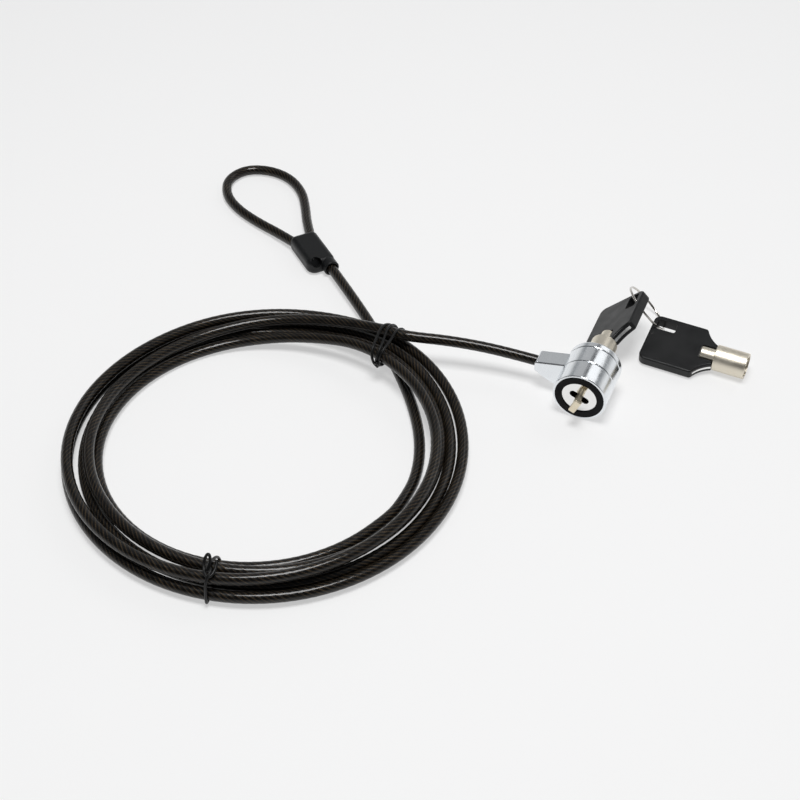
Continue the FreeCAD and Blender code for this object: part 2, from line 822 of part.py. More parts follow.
def make_boot():
    thick = boot_thickness / 2
    start = Vector(boot_length / 2, tail_offset, 0)
    collar = Part.makeCylinder(collar_radius, collar_length - boot_length / 2, start, Vector(1, 0, 0))
    rim = [e for e in collar.Edges if e.Closed and e.BoundBox.XMin > collar_length - 0.01]
    collar = collar.makeFillet(collar_round, rim)
    body = boot_body().fuse(collar).removeSplitter()
    tail_bore = Part.makeCylinder(collar_bore, collar_length, Vector(ferrule_to, tail_offset, 0),
                                  Vector(1, 0, 0))
    body = body.cut(tail_bore).cut(ferrule_block(boot_wall_clear)).cut(leg_cutter(-1)).cut(leg_cutter(1))
    tilt = radians(heel_hole_tilt)
    way = Vector(-cos(tilt), 0, -sin(tilt))
    mouth = Vector(boot_length + heel_hole_out, heel_hole_side, thick + heel_hole_up)
    scoop = Part.makeCylinder(heel_hole_radius, heel_hole_depth, mouth, way)
    return body.cut(scoop)


def ferrule_block(clear):
    half = ferrule_half + clear
    thick = ferrule_thickness / 2 + clear
    round_at = half - thick
    bar = Part.makeBox(ferrule_to - ferrule_from, 2 * round_at, 2 * thick,
                       Vector(ferrule_from, -round_at, -thick))
    for side in (-round_at, round_at):
        end = Part.makeCylinder(thick, ferrule_to - ferrule_from, Vector(ferrule_from, side, 0),
                                Vector(1, 0, 0))
        bar = bar.fuse(end)
    return bar.removeSplitter()


# Wire ties

def bundle_points():
    """Points along the lead and the coil, the lead first."""
    edges, radii = rounded_path(lead_route())
    return sampled(edges + coil_edges()[0], 2.0)[0]


def strands_at(points, angle):
    """Where the strands cross the upright plane at an angle, as radius and height."""
    out = level_heading(angle)
    way = level_heading(angle + 90)
    found = []
    for a, b in zip(points, points[1:]):
        before = (a - coil_centre).dot(way)
        after = (b - coil_centre).dot(way)
        if before < 0 <= after and (a - coil_centre).dot(out) > 0:
            share = -before / (after - before)
            p = a + (b - a) * share
            found.append(((p - coil_centre).dot(out), p.z))
    return found


def hull(points):
    """Convex hull of plane points, anticlockwise."""
    order = sorted(points)
    chains = []
    for run in (order, order[::-1]):
        chain = []
        for p in run:
            while len(chain) > 1 and ((chain[-1][0] - chain[-2][0]) * (p[1] - chain[-2][1])
                                      - (chain[-1][1] - chain[-2][1]) * (p[0] - chain[-2][0])) <= 0:
                chain.pop()
            chain.append(p)
        chains.append(chain[:-1])
    return chains[0] + chains[1]


def belt(strands, clear):
    """Corner points of a wire pulled round the strands, anticlockwise."""
    corners = hull(strands)
    reach = cable_radius + clear + tie_diameter / 2
    count = len(corners)
    points = []
    for i in range(count):
        before, here, after = corners[i - 1], corners[i], corners[(i + 1) % count]
        way_in = atan2(here[1] - before[1], here[0] - before[0]) - pi / 2
        way_out = atan2(after[1] - here[1], after[0] - here[0]) - pi / 2
        turn = (way_out - way_in) % (2 * pi)
        steps = 1 + int(degrees(turn) / tie_turn_step)
        for k in range(steps):
            way = way_in + turn * (k + 0.5) / steps
            far = reach / cos(turn / steps / 2)
            points.append((here[0] + far * cos(way), here[1] + far * sin(way)))
    return points


def tie_point(angle, radius, height, along):
    out = level_heading(angle)
    way = level_heading(angle + 90)
    return coil_centre + out * radius + way * along + Vector(0, 0, height)


def nearest(points, target):
    return min(points, key=lambda p: hypot(p[0] - target[0], p[1] - target[1]))


def wound_belt(angle, turns, pitch, clear, first, fan):
    """Belt points taken round several times, each at its own place along the bundle."""
    points = bundle_points()
    middle = belt(strands_at(points, angle), clear)
    start = middle.index(nearest(middle, first))
    inner = min(middle)[0]
    outer = max(middle)[0]
    count = len(middle)
    route = []
    for k in range(turns * count + 1):
        corner = middle[(start + k) % count]
        spread = 1 + fan * (corner[0] - inner) / (outer - inner)
        along = pitch * spread * (k / count - turns / 2)
        here = angle + degrees(along / corner[0])
        radius, height = nearest(belt(strands_at(points, here), clear), corner)
        route.append(tie_point(here, radius, height, 0))
    return route


def make_tie(name, points):
    edges, radii = rounded_path(points)
    gap = least_gap(edges, tie_diameter, 0.3, 5 * tie_diameter)
    print(name, 'length %.0f' % sum(e.Length for e in edges), 'least radius %.1f' % min(radii),
          'least gap %.2f' % gap)
    return tube_along(edges, tie_diameter)


def back_tie_route():
    angle = back_tie_angle
    inner = min(strands_at(bundle_points(), angle))
    first = (inner[0] - 3, inner[1])
    ring = wound_belt(angle, 3, back_tie_pitch, back_tie_clear, first, back_tie_fan)
    r, z = inner[0] - 3.2, inner[1]
    step = 1.5 * back_tie_pitch
    start = [tie_point(angle, r - 1.6, z - 5.6, -step - 0.6), tie_point(angle, r - 0.6, z - 2.6, -step)]
    end = [tie_point(angle, r - 1.0, z - 1.2, step + 0.6), tie_point(angle, r - 2.2, z - 4.6, step + 1.8)]
    return start + ring[1:-1] + end


def front_tie_route():
    angle = front_tie_angle
    top = max(strands_at(bundle_points(), angle), key=lambda s: s[1])
    first = (top[0] - 1, top[1] + 3)
    ring = wound_belt(angle, 1, front_tie_gap, tie_clear, first, 0)
    r, z = top[0] - 3.2, top[1] + 3.6
    half = front_tie_gap / 2
    lead_in = [tie_point(angle, r - 4.0, z + 1.7, 1.6 - half),
               tie_point(angle, r - 5.4, z + 4.2, 0.2 - half),
               tie_point(angle, r - 3.2, z + 2.6, -1.2 - half),
               tie_point(angle, r + 0.6, z + 1.7, -0.3 - half)]
    lead_out = [tie_point(angle, r - 0.8, z + 0.9, half + 0.4),
                tie_point(angle, r - 3.6, z + 3.2, half + 1.9)]
    return lead_in + ring[1:] + lead_out


pieces = {
    'front_shell': make_front_shell,
    'rubber_pad': make_rubber_pad,
    'face_plate': make_face_plate,
    'lock_barrel': make_lock_barrel,
    'keyway_bush': make_keyway_bush,
    'rear_cap': make_rear_cap,
    'barrel_dowel': make_barrel_dowel,
    'driver_pins': make_driver_pins,
    'pin_springs': make_pin_springs,
    'lock_rotor': make_lock_rotor,
    't_bar_spindle': make_t_bar,
    'spindle_pin': lambda: cross_pin(0),
    'key_pins': make_key_pins,
    'swivel_ring': make_swivel_ring,
    'cable_stop': make_cable_stop,
    'cable_lead': lambda: cord('cable_lead', lead_route(), cable_diameter),
    'cable_coil': make_coil,
    'cable_tail': lambda: cord('cable_tail', tail_route(), cable_diameter),
    'cable_eye': lambda: cord('cable_eye', eye_route(), cable_diameter),
    'eye_ferrule': lambda: placed(ferrule_block(0), boot_frame()),
    'ferrule_boot': lambda: placed(make_boot(), boot_frame()),
    'tie_back': lambda: make_tie('tie_back', back_tie_route()),
    'tie_front': lambda: make_tie('tie_front', front_tie_route()),
    'split_ring': make_split_ring,
}
for name, place in (('key_1', key_1_frame()), ('key_2', key_2_frame())):
    for part, maker in (('tube', make_key_tube), ('plate', make_key_plate), ('bow', make_bow)):
        pieces[name + '_' + part] = lambda maker=maker, place=place: placed(maker(), place)

os.makedirs("parts", exist_ok=True)
for name, maker in pieces.items():
    shape = maker()
    print(name, shape.ShapeType, len(shape.Solids), 'valid', shape.isValid(), 'volume %.2f' % shape.Volume)
    shape.exportStep("parts/" + name + ".step")
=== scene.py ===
import json
from math import cos, pi, radians, sin
import bpy
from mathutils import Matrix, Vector

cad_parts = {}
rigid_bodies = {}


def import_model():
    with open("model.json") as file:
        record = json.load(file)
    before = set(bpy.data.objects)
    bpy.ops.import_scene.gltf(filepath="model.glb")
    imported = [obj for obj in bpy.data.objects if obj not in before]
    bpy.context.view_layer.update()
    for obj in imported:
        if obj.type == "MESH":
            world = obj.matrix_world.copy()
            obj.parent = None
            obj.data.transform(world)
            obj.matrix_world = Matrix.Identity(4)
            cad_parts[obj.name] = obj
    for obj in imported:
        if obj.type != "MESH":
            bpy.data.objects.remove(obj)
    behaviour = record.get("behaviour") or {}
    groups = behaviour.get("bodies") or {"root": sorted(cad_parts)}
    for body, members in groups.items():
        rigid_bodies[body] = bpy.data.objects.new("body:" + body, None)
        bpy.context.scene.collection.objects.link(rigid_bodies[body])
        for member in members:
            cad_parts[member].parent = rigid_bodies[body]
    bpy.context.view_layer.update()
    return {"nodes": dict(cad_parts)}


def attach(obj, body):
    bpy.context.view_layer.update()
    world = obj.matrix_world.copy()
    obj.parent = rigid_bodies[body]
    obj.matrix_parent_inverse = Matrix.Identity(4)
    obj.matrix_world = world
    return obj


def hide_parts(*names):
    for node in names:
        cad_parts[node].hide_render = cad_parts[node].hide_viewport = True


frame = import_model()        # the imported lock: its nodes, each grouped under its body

tableHeight = -10.9      # the table, in mm below the lock's axis


def mm(*values):
    return Vector([v * 0.001 for v in values])


def dropStarter():       # the cube, lamp and camera that Blender opens with
    for thing in list(bpy.data.objects):
        if thing.name in ("Cube", "Light", "Camera"):
            bpy.data.objects.remove(thing)


def addObject(name, data):
    thing = bpy.data.objects.new(name, data)
    bpy.context.scene.collection.objects.link(thing)
    return thing


def plainMesh(maker, name):      # an object's evaluated shape as a mesh of its own
    bpy.context.view_layer.update()
    shape = maker.evaluated_get(bpy.context.evaluated_depsgraph_get())
    mesh = bpy.data.meshes.new_from_object(shape)
    mesh.name = name
    return mesh


dropStarter()
print("camera")
photoView = {"stands": (94.43, -404.11, 394.1), "looks": (-0.27876, 0.66313, -0.69466), "lens": 65.7}


def addCamera(spec):
    data = bpy.data.cameras.new("photoCamera")
    data.lens = spec["lens"]
    data.sensor_width = 36.0
    data.clip_start = 0.01
    camera = addObject("photoCamera", data)
    camera.location = mm(*spec["stands"])
    camera.rotation_euler = Vector(spec["looks"]).to_track_quat("-Z", "Y").to_euler()
    bpy.context.scene.camera = camera


addCamera(photoView)

print("cable routes")
# the coated rope: six strands emboss the coat, and finer wires show through it both ways
cable = {"diameter": 4.4, "around": 20, "step": 0.9, "strands": 6, "lay": 21.0, "emboss": 0.035,
         "wires": 9, "crossWires": 18, "crossPitch": 1.26}

# the coil's stations: angle, outer lane's radius, lift, then for each turn
# the lanes in from the outer one, the layers up and a shift in degrees
coil = {
    "centre": (-104.9, -61.6), "lane": 5.0, "layer": 4.4, "points": 90,
    "widenAtStart": -0.414, "widenAtEnd": -0.037,
    "stations": (
        (73.0, 70.6, 4.9, ((0.35, 1.5, 0), (1.3, 0, 0), (0.4, 0.05, -4), (-0.48, 0.1, 4),
                           (2.4, 0.95, 0))),
        (101.0, 71.0, 1.0, ((1.0, 1.35, 0), (1.6, 0, 0), (0.5, 0, 0), (0.0, 0.85, 0), (2.8, 0.85, 0))),
        (143.0, 72.4, 0.0, ((1.65, 1.1, 0), (1.2, 0, 0), (0.15, 0, 0), (0.5, 1.35, 0), (2.3, 0, 0))),
        (223.0, 76.3, 1.6, ((1.75, 1.15, 0), (1.25, 0, 0), (0, 0, 0), (0.1, 1.2, 0), (2.25, 0, 0))),
        (343.0, 75.9, 1.3, ((1.76, 0.5, 5), (0.88, 0, 0), (0, 0, 0), (1.4, 1.5, 0), (3.1, 0, 0))),
    )}
lead = {
    "start": (-12.9, 14.4, 10.9), "runIn": 6.5, "heading": 182.0,
    "points": ((-26.5, 14.4, 10.9), (-43.0, 12.6, 12.1), (-58.5, 9.4, 13.0), (-71.0, 5.5, 13.7))}
tail = {
    "runOut": 8.8, "heading": 75.0,
    "points": ((-45.0, -56.5, 2.6), (-50.2, -39.3, 2.25), (-59.9, -22.4, 2.25),
               (-72.9, -6.1, 2.25), (-84.6, 6.4, 2.25), (-108.2, 28.3, 3.7))}
boot = {"face": (-147.2, 57.7), "heading": -40.5, "height": 3.7, "ferruleFrom": 6.0, "ferruleTo": 18.5,
        "tailSide": 3.0, "legSide": 2.6}
eye = {
    "points": ((-157.4, 57.6, 2.9), (-171.5, 62.2, 2.3), (-184.5, 67.6, 2.3), (-194.4, 75.2, 2.3),
               (-199.8, 86.0, 2.3), (-195.8, 97.0, 2.3), (-185.0, 101.0, 2.3), (-173.3, 99.0, 2.3),
               (-163.2, 91.2, 2.3), (-156.4, 80.6, 2.3), (-150.3, 69.3, 2.8))}


def onTable(point):      # from X, Y and height off the table, in mm, to the scene's metres
    return mm(point[0], point[1], point[2] + tableHeight)


def bootPoint(along, side, height):
    turn = radians(boot["heading"])
    x = boot["face"][0] + along * cos(turn) - side * sin(turn)
    y = boot["face"][1] + along * sin(turn) + side * cos(turn)
    return onTable((x, y, height))


def coilNodes():
    nodes = []
    for turn in range(5):
        for angle, outer, lift, lanes in coil["stations"]:
            lane, layer, shift = lanes[turn]
            nodes.append((angle + shift + 360 * turn, outer - lane * coil["lane"],
                          cable["diameter"] / 2 + lift + layer * coil["layer"]))
    return nodes


def between(nodes, angle, column, firstSlope, lastSlope):    # a smooth value that never overshoots
    def slope(i):
        if i == 0:
            return firstSlope
        if i == len(nodes) - 1:
            return lastSlope
        before = (nodes[i][column] - nodes[i - 1][column]) / (nodes[i][0] - nodes[i - 1][0])
        after = (nodes[i + 1][column] - nodes[i][column]) / (nodes[i + 1][0] - nodes[i][0])
        return 2 * before * after / (before + after) if before * after > 0 else 0.0
    i = 0
    while i < len(nodes) - 2 and nodes[i + 1][0] < angle:
        i += 1
    span = nodes[i + 1][0] - nodes[i][0]
    t = (angle - nodes[i][0]) / span
    low, high = nodes[i][column], nodes[i + 1][column]
    return ((2 * t ** 3 - 3 * t ** 2 + 1) * low + (t ** 3 - 2 * t ** 2 + t) * span * slope(i)
            + (3 * t ** 2 - 2 * t ** 3) * high + (t ** 3 - t ** 2) * span * slope(i + 1))


def coilPoints():
    nodes = coilNodes()
    step = (nodes[-1][0] - nodes[0][0]) / coil["points"]
    pulledIn = 0.75 + 0.25 * cos(radians(step))      # a spline cuts inside its own points
    points = []
    for i in range(coil["points"] + 1):
        angle = nodes[0][0] + step * i
        radius = between(nodes, angle, 1, coil["widenAtStart"], coil["widenAtEnd"]) / pulledIn
        height = between(nodes, angle, 2, 0.0, 0.0)
        points.append(onTable((coil["centre"][0] + radius * cos(radians(angle)),
                               coil["centre"][1] + radius * sin(radians(angle)), height)))
    return points


def level(angle):
    return Vector((cos(radians(angle)), sin(radians(angle)), 0))


def coilEnds():
    nodes = coilNodes()
    x, y = coil["centre"]
    return [onTable((x + radius * cos(radians(angle)), y + radius * sin(radians(angle)), height))
            for angle, radius, height in (nodes[0], nodes[-1])]


def cableRoute():
    first, last = coilEnds()
    points = [onTable(lead["start"])] + [onTable(p) for p in lead["points"]]
    points.append(first - level(lead["heading"]) * lead["runIn"] * 0.001)
    points += coilPoints()
    points.append(last + level(tail["heading"]) * tail["runOut"] * 0.001)
    points += [onTable(p) for p in tail["points"]]
    points.append(bootPoint(boot["ferruleTo"], boot["tailSide"], boot["height"]))
    return points


def eyeRoute():
    return ([bootPoint(boot["ferruleFrom"], -boot["legSide"], boot["height"])]
            + [onTable(p) for p in eye["points"]]
            + [bootPoint(boot["ferruleFrom"], boot["legSide"], boot["height"])])


def routeCurve(name, points):
    data = bpy.data.curves.new(name, "CURVE")
    data.dimensions = "3D"
    data.resolution_u = 10
    spline = data.splines.new("NURBS")
    spline.points.add(len(points) - 1)
    for spot, place in zip(spline.points, points):
        spot.co = (place.x, place.y, place.z, 1)
    spline.order_u = 3
    spline.use_endpoint_u = True
    return addObject(name, data)


def lineOf(curve):       # the points that the spline runs through
    mesh = bpy.data.meshes.new_from_object(curve)
    line = [v.co.copy() for v in mesh.vertices]
    bpy.data.meshes.remove(mesh)
    return line


def lengthOf(line):
    return sum((b - a).length for a, b in zip(line, line[1:]))


class NodeBench:         # makes the nodes of one tree, with settings first and then their sockets
    def __init__(self, tree):
        self.tree = tree

    def make(self, kind, settings=None, sockets=None, output=0):
        node = self.tree.nodes.new(kind)
        for key, value in (settings or {}).items():
            if key == "stops":
                fillRamp(node.color_ramp, value)
            else:
                setattr(node, key, value)
        for key, value in (sockets or {}).items():
            self.feed(node.inputs[key], value)
        return Wire(self, node.outputs[output], node)

    def feed(self, socket, value):
        if isinstance(value, Wire):
            self.tree.links.new(value.socket, socket)
        else:
            socket.default_value = value


class Wire:              # an output socket that plain arithmetic works on
    def __init__(self, bench, socket, node):
        self.bench = bench
        self.socket = socket
        self.node = node

    def out(self, name):
        return Wire(self.bench, self.node.outputs[name], self.node)

    def maths(self, operation, *values):
        sockets = dict(enumerate(values))
        return self.bench.make("ShaderNodeMath", {"operation": operation}, sockets)

    def __add__(self, other):
        return self.maths("ADD", self, other)

    def __radd__(self, other):
        return self.maths("ADD", other, self)

    def __sub__(self, other):
        return self.maths("SUBTRACT", self, other)

    def __rsub__(self, other):
        return self.maths("SUBTRACT", other, self)

    def __mul__(self, other):
        return self.maths("MULTIPLY", self, other)

    def __rmul__(self, other):
        return self.maths("MULTIPLY", other, self)

    def __truediv__(self, other):
        return self.maths("DIVIDE", self, other)

    def __rtruediv__(self, other):
        return self.maths("DIVIDE", other, self)

    def cosine(self):
        return self.maths("COSINE", self)


def opaque(value):       # a colour's three numbers get the fourth, and anything else stays
    return (*value, 1) if isinstance(value, tuple) and len(value) == 3 else value


def fillRamp(ramp, stops):
    while len(ramp.elements) > 2:
        ramp.elements.remove(ramp.elements[-1])
    while len(ramp.elements) < len(stops):
        ramp.elements.new(0.5)
    for element, (place, colour) in zip(ramp.elements, stops):
        element.position = place
        element.color = opaque(colour)


class Finish(NodeBench):     # one material, with its shader ready to be fed
    def __init__(self, name, **fixed):
        self.material = bpy.data.materials.new(name)
        self.material.use_nodes = True
        super().__init__(self.material.node_tree)
        self.tree.nodes.clear()
        self.shader = self.make("ShaderNodeBsdfPrincipled")
        self.output = self.tree.nodes.new("ShaderNodeOutputMaterial")
        self.tree.links.new(self.shader.socket, self.output.inputs["Surface"])
        for key, value in fixed.items():
            self.set(key.replace("_", " "), value)

    def set(self, socket, value):
        self.feed(self.shader.node.inputs[socket], opaque(value))

    def place(self):
        return self.make("ShaderNodeTexCoord", output="Object")

    def noise(self, where, scale, detail=3.0, rough=0.5):
        return self.make("ShaderNodeTexNoise", sockets={
            "Vector": where, "Scale": scale, "Detail": detail, "Roughness": rough})

    def fade(self, value, low, high, toLow=0.0, toHigh=1.0):
        return self.make("ShaderNodeMapRange", {"clamp": True}, {
            "Value": value, "From Min": low, "From Max": high, "To Min": toLow, "To Max": toHigh})

    def blend(self, share, first, second):
        wire = self.make("ShaderNodeMix", {"data_type": "RGBA"}, {"Factor": share}, output=2)
        for key, value in ((6, first), (7, second)):     # the sockets of its two colours
            self.feed(wire.node.inputs[key], opaque(value))
        return wire

    def bump(self, height, depth, strength=1.0):
        self.set("Normal", self.make("ShaderNodeBump", sockets={
            "Height": height, "Distance": depth, "Strength": strength}))


print("finishes")


sheathLook = {"dark": (0.0012, 0.001, 0.0007), "glint": (0.07, 0.049, 0.028), "rough": 0.45,
              "shine": 0.15, "coat": 0.6, "coatRough": 0.045, "coatIor": 1.42, "cloud": 260.0,
              "metal": 0.6, "relief": 0.0001}


def sheathFinish():      # smoky coat over a steel rope, whose wires show through it
    look = Finish("smokySheath", Roughness=sheathLook["rough"], IOR=1.5,
                  Specular_IOR_Level=sheathLook["shine"], Coat_Weight=sheathLook["coat"],
                  Coat_Roughness=sheathLook["coatRough"], Coat_IOR=sheathLook["coatIor"])
    lay = look.make("ShaderNodeAttribute", {"attribute_name": "lay"}, output="Vector")
    parts = look.make("ShaderNodeSeparateXYZ", sockets={0: lay})
    angle = look.make("ShaderNodeMath", {"operation": "ARCTAN2"},
                      {0: parts.out("Y"), 1: parts.out("X")})
    along = parts.out("Z")
    turned = angle * cable["wires"] - along * (2 * pi * cable["wires"] / (cable["lay"] * 0.001))
    wires = turned.cosine() * 0.5 + 0.5
    crossed = angle * cable["crossWires"] + along * (2 * pi / (cable["crossPitch"] * 0.001))
    crossWires = crossed.cosine() * 0.5 + 0.5
    cloud = look.noise(look.place(), sheathLook["cloud"], 4.0, 0.6)
    glint = look.fade(wires * (0.8 + 0.2 * crossWires) + cloud * 0.9, 1.05, 1.6)
    look.set("Base Color", look.blend(glint, sheathLook["dark"], sheathLook["glint"]))
    look.set("Metallic", look.fade(glint, 0.2, 1.0, 0.0, sheathLook["metal"]))
    look.bump(wires + crossWires * 0.2, sheathLook["relief"], 0.4)
    return look.material


chromeLook = {"dull": (0.76, 0.79, 0.82), "pale": (0.88, 0.9, 0.92), "rough": (0.12, 0.3),
              "cloud": 240.0, "drawn": (900.0, 60.0, 900.0), "relief": 0.00012}
mirrorLook = {"dull": (0.82, 0.82, 0.81), "pale": (0.9, 0.9, 0.89), "rough": (0.03, 0.09),
              "cloud": 400.0}


def chromeFinish():      # plated, with faint lines drawn along the lock's axis
    look = Finish("chromePlate", Metallic=1.0, IOR=2.5)
    spot = look.place()
    cloud = look.noise(spot, chromeLook["cloud"], 5.0, 0.6)
    stretched = look.make("ShaderNodeVectorMath", {"operation": "MULTIPLY"}, {
        0: spot, 1: chromeLook["drawn"]})
    drawn = look.noise(stretched, 1.0, 3.0)
    look.set("Base Color", look.blend(cloud, chromeLook["dull"], chromeLook["pale"]))
    look.set("Roughness", look.fade(cloud * 0.6 + drawn * 0.4, 0.3, 0.75, *chromeLook["rough"]))
    look.bump(cloud + drawn * 0.3, chromeLook["relief"], 0.35)
    return look.material


def mirrorFinish():
    look = Finish("mirrorDisc", Metallic=1.0, IOR=2.5)
    cloud = look.noise(look.place(), mirrorLook["cloud"], 3.0)
    look.set("Base Color", look.blend(cloud, mirrorLook["dull"], mirrorLook["pale"]))
    look.set("Roughness", look.fade(cloud, 0.3, 0.8, *mirrorLook["rough"]))
    return look.material


nickelLook = {"cloud": 260.0, "grain": 3000.0, "roughSpread": 0.14, "relief": 0.00002}
rubberLook = {"dark": (0.003, 0.003, 0.0035), "dusty": (0.007, 0.007, 0.008), "rough": (0.55, 0.75),
              "shine": 0.15, "cloud": 300.0, "grain": 5200.0, "relief": 0.00004}
plasticLook = {"black": (0.0035, 0.0038, 0.0042), "cloud": 160.0, "grain": 4200.0,
               "roughSpread": 0.14}
steelLook = {"cloud": 350.0}


def nickelFinish(name, pale, dull, low=0.3):
    look = Finish(name, Metallic=1.0, IOR=2.2)
    spot = look.place()
    cloud = look.noise(spot, nickelLook["cloud"], 4.0)
    grain = look.noise(spot, nickelLook["grain"], 2.0)
    look.set("Base Color", look.blend(cloud, dull, pale))
    look.set("Roughness", look.fade(cloud, 0.25, 0.8, low, low + nickelLook["roughSpread"]))
    look.bump(grain, nickelLook["relief"], 0.3)
    return look.material


def rubberFinish():
    look = Finish("padRubber", Specular_IOR_Level=rubberLook["shine"])
    spot = look.place()
    grain = look.noise(spot, rubberLook["grain"], 3.0)
    cloud = look.noise(spot, rubberLook["cloud"], 3.0)
    look.set("Base Color", look.blend(cloud, rubberLook["dark"], rubberLook["dusty"]))
    look.set("Roughness", look.fade(cloud, 0.3, 0.7, *rubberLook["rough"]))
    look.bump(grain, rubberLook["relief"], 0.5)
    return look.material


def plasticFinish(name, rough, grainDepth, shine=0.3, colour=plasticLook["black"]):
    look = Finish(name, IOR=1.5, Specular_IOR_Level=shine)
    spot = look.place()
    grain = look.noise(spot, plasticLook["grain"], 3.0)
    cloud = look.noise(spot, plasticLook["cloud"], 4.0)
    paler = tuple(c * 1.8 + 0.001 for c in colour)
    look.set("Base Color", look.blend(cloud, colour, paler))
    look.set("Roughness", look.fade(cloud, 0.3, 0.75, rough, rough + plasticLook["roughSpread"]))
    look.bump(grain, grainDepth, 0.5)
    return look.material


def steelFinish(name, pale, dull, low, high):
    look = Finish(name, Metallic=1.0, IOR=2.3)
    cloud = look.noise(look.place(), steelLook["cloud"], 4.0)
    look.set("Base Color", look.blend(cloud, dull, pale))
    look.set("Roughness", look.fade(cloud, 0.25, 0.8, low, high))
    return look.material


finishes = {
    "sheath": sheathFinish(),
    "chrome": chromeFinish(),
    "mirror": mirrorFinish(),
    "nose": nickelFinish("noseNickel", (0.86, 0.78, 0.62), (0.7, 0.62, 0.47)),
    "key": nickelFinish("keyNickel", (0.84, 0.79, 0.68), (0.7, 0.64, 0.53), 0.36),
    "plate": nickelFinish("keyPlate", (0.95, 0.95, 0.94), (0.84, 0.84, 0.83), 0.2),
    "rubber": rubberFinish(),
    "bow": plasticFinish("bowPlastic", 0.36, 0.00002, 0.32),
    "boot": plasticFinish("bootPlastic", 0.34, 0.00002, 0.3),
    "tie": plasticFinish("tieCoat", 0.32, 0.00001, 0.3, (0.003, 0.003, 0.003)),
    "ring": steelFinish("ringWire", (0.74, 0.72, 0.69), (0.52, 0.5, 0.47), 0.12, 0.28),
    "inner": steelFinish("turnedSteel", (0.55, 0.55, 0.56), (0.4, 0.4, 0.41), 0.22, 0.4),
    "barrel": steelFinish("oiledBarrel", (0.06, 0.06, 0.062), (0.03, 0.03, 0.032), 0.35, 0.5),
    "brass": steelFinish("turnedBrass", (0.72, 0.54, 0.26), (0.55, 0.4, 0.18), 0.2, 0.36),
    "sleeve": steelFinish("pressedSleeve", (0.66, 0.66, 0.67), (0.5, 0.5, 0.51), 0.25, 0.45),
}
nodeFinish = {
    "front_shell": "chrome", "rear_cap": "chrome", "swivel_ring": "chrome", "rubber_pad": "rubber",
    "face_plate": "mirror", "t_bar_spindle": "nose", "lock_barrel": "barrel", "lock_rotor": "inner",
    "keyway_bush": "key", "barrel_dowel": "inner", "spindle_pin": "inner", "key_pins": "brass",
    "driver_pins": "brass", "pin_springs": "inner", "cable_stop": "sleeve", "eye_ferrule": "sleeve",
    "ferrule_boot": "boot", "split_ring": "ring", "key_1_tube": "key", "key_1_plate": "plate",
    "key_1_bow": "bow", "key_2_tube": "key", "key_2_plate": "plate", "key_2_bow": "bow"}
for nodeName, finishName in nodeFinish.items():
    mesh = frame["nodes"][nodeName].data
    mesh.materials.clear()
    mesh.materials.append(finishes[finishName])

print("cables")


def sheathTree():        # a round sheath along a spline, faintly embossed by the strands inside
    tree = bpy.data.node_groups.new("sheathAlongSpline", "GeometryNodeTree")
    face = tree.interface
    face.new_socket("Geometry", in_out="INPUT", socket_type="NodeSocketGeometry")
    for name, kind in (("Radius", "NodeSocketFloat"), ("Step", "NodeSocketFloat"),
                       ("Around", "NodeSocketInt"), ("Strands", "NodeSocketInt"),
                       ("Lay Length", "NodeSocketFloat"), ("Emboss", "NodeSocketFloat"),
                       ("Finish", "NodeSocketMaterial")):
        face.new_socket(name, in_out="INPUT", socket_type=kind)
    face.new_socket("Geometry", in_out="OUTPUT", socket_type="NodeSocketGeometry")
    bench = NodeBench(tree)
    given = bench.make("NodeGroupInput")
    even = bench.make("GeometryNodeResampleCurve", {"mode": "LENGTH"},
                      {"Curve": given, "Length": given.out("Step")})
    path = bench.make("GeometryNodeSplineParameter", output="Length")
    kept = bench.make("GeometryNodeCaptureAttribute", {"domain": "POINT"}, {"Geometry": even})
    kept.node.capture_items.new("FLOAT", "Length")
    bench.feed(kept.node.inputs["Length"], path)
    circle = bench.make("GeometryNodeCurvePrimitiveCircle", {"mode": "RADIUS"},
                        {"Resolution": given.out("Around"), "Radius": given.out("Radius")})
    share = bench.make("GeometryNodeSplineParameter", output="Factor")
    ring = bench.make("GeometryNodeCaptureAttribute", {"domain": "POINT"}, {"Geometry": circle})
    ring.node.capture_items.new("FLOAT", "Factor")
    bench.feed(ring.node.inputs["Factor"], share)
    tube = bench.make("GeometryNodeCurveToMesh", None,
                      {"Curve": kept, "Profile Curve": ring, "Fill Caps": True})
    angle = ring.out("Factor") * (2 * pi)
    along = kept.out("Length")
    phase = (angle - along / given.out("Lay Length") * (2 * pi)) * given.out("Strands")
    wave = phase.cosine() * given.out("Emboss")
    normal = bench.make("GeometryNodeInputNormal")
    push = bench.make("ShaderNodeVectorMath", {"operation": "SCALE"}, {0: normal, "Scale": wave})
    moved = bench.make("GeometryNodeSetPosition", None, {"Geometry": tube, "Offset": push})
    lay = bench.make("ShaderNodeCombineXYZ", None, {
        "X": angle.cosine(), "Y": angle.maths("SINE", angle), "Z": along})
    stored = bench.make("GeometryNodeStoreNamedAttribute",
                        {"data_type": "FLOAT_VECTOR", "domain": "POINT"},
                        {"Geometry": moved, "Name": "lay", "Value": lay})
    smooth = bench.make("GeometryNodeSetShadeSmooth", None, {"Geometry": stored})
    real = bench.make("GeometryNodeRealizeInstances", None, {"Geometry": smooth})
    dressed = bench.make("GeometryNodeSetMaterial", None,
                         {"Geometry": real, "Material": given.out("Finish")})
    end = tree.nodes.new("NodeGroupOutput")
    tree.links.new(dressed.socket, end.inputs["Geometry"])
    return tree


def giveInputs(modifier, tree, values):
    for item in tree.interface.items_tree:
        if item.item_type == "SOCKET" and item.in_out == "INPUT" and item.name in values:
            modifier[item.identifier] = values[item.name]


sheath = sheathTree()


